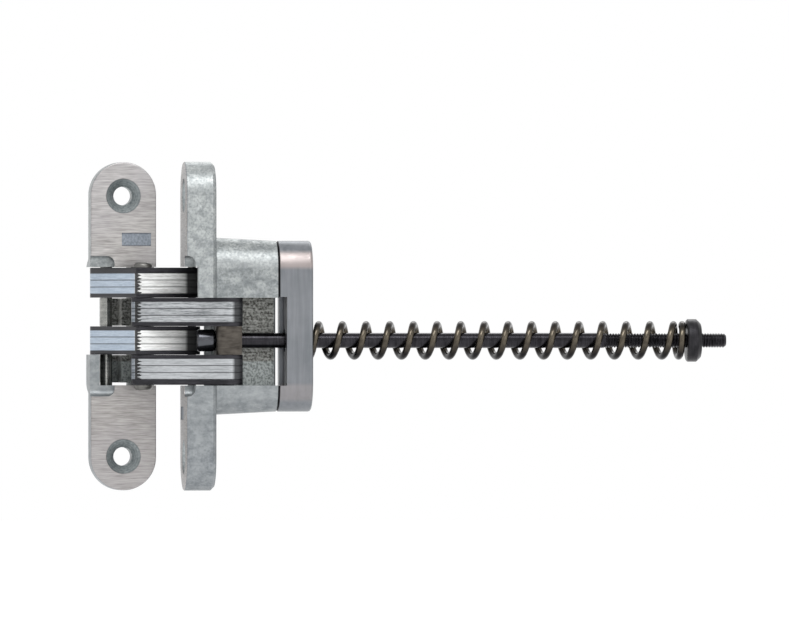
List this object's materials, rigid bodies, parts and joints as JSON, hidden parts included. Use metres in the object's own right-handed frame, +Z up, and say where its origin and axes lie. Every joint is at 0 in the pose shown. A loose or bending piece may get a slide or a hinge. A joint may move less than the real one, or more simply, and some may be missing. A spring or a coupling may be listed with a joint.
{
  "type": "concealed closer hinge",
  "caption": "Concealed scissor-link hinge with cast mortise leaves, laminated links and a spring-loaded closer rod behind one leaf.",
  "frame": {"origin": "centre of the closer leaf's front face, midway between its screw holes", "axes": "+X into the closer leaf's depth and along its rod, +Y across its plate towards the plain leaf, +Z up along the hinge pins; the hinge is stored 90 degrees open"},
  "size_m": [0.1835, 0.0525, 0.0952],
  "materials": {
    "leaf_casting": "brushed face, raw die-cast body",
    "cap_casting": "satin die-cast",
    "screw_steel": "dull plated",
    "pin_steel": "ground",
    "link_steel": "bright blanked plate",
    "liner_steel": "black",
    "block_steel": "dull",
    "rod_steel": "black oxide",
    "spring_steel": "oiled spring wire",
    "nut_steel": "black oxide"
  },
  "bodies": {
    "closer_leaf": {"closer_leaf_casting": "leaf_casting", "end_cap": "cap_casting", "cap_screws": "screw_steel", "closer_leaf_pivot_pin": "pin_steel", "closer_spring": "spring_steel"},
    "link_set_a": {"link_a_upper_liner_1": "liner_steel", "link_a_upper_plate_1": "link_steel", "link_a_upper_plate_2": "link_steel", "link_a_upper_plate_3": "link_steel", "link_a_upper_liner_2": "liner_steel", "link_a_lower_liner_1": "liner_steel", "link_a_lower_plate_1": "link_steel", "link_a_lower_plate_2": "link_steel", "link_a_lower_plate_3": "link_steel", "link_a_lower_liner_2": "liner_steel", "centre_pin": "pin_steel", "slider_pin": "pin_steel"},
    "link_set_b": {"link_b_upper_liner_1": "liner_steel", "link_b_upper_plate_1": "link_steel", "link_b_upper_plate_2": "link_steel", "link_b_upper_plate_3": "link_steel", "link_b_upper_liner_2": "liner_steel", "link_b_lower_liner_1": "liner_steel", "link_b_lower_plate_1": "link_steel", "link_b_lower_plate_2": "link_steel", "link_b_lower_plate_3": "link_steel", "link_b_lower_liner_2": "liner_steel"},
    "plain_leaf": {"plain_leaf_casting": "leaf_casting", "plain_leaf_pivot_pin": "pin_steel"},
    "trunnion": {"trunnion_block": "block_steel"},
    "rod": {"closer_rod": "rod_steel"},
    "nut": {"adjusting_nut": "nut_steel"}
  },
  "joints": [
    {"name": "hinge_opening", "type": "hinge", "parent": "closer_leaf", "child": "link_set_a", "pos_m": [0.0032, 0.0076, 0], "axis": [0, 0, -1], "range_deg": [-59.4, 59.4]},
    {"name": "link_crossing", "type": "hinge", "parent": "link_set_a", "child": "link_set_b", "pos_m": [-0.0113, 0.0046, 0], "axis": [0, 0, -1], "range_deg": [-28.81, 28.81]},
    {"name": "plain_leaf_pivot", "type": "hinge", "parent": "link_set_b", "child": "plain_leaf", "pos_m": [-0.0083, 0.0191, 0], "axis": [0, 0, -1], "range_deg": [-59.41, 59.41]},
    {"name": "block_pivot", "type": "hinge", "parent": "link_set_b", "child": "trunnion", "pos_m": [0.0126, -0.00385, 0], "axis": [0, 0, -1], "range_deg": [-30.61, 30.61]},
    {"name": "rod_slide", "type": "slide", "parent": "closer_leaf", "child": "rod", "axis": [1, 0, 0], "range_m": [-0.00765, 0.00765], "deforming": ["closer_spring"]},
    {"name": "nut_turn", "type": "hinge", "parent": "rod", "child": "nut", "pos_m": [0.1486, -0.0009, -0.00413], "axis": [1, 0, 0], "continuous": true}
  ],
  "couplings": [
    {"joint": "link_crossing", "follows": "hinge_opening", "ratio": -0.48485},
    {"joint": "plain_leaf_pivot", "follows": "hinge_opening", "ratio": 1},
    {"joint": "block_pivot", "follows": "hinge_opening", "ratio": -0.51515},
    {"joint": "rod_slide", "follows": "hinge_opening", "m_per_rad": -0.007353}
  ]
}
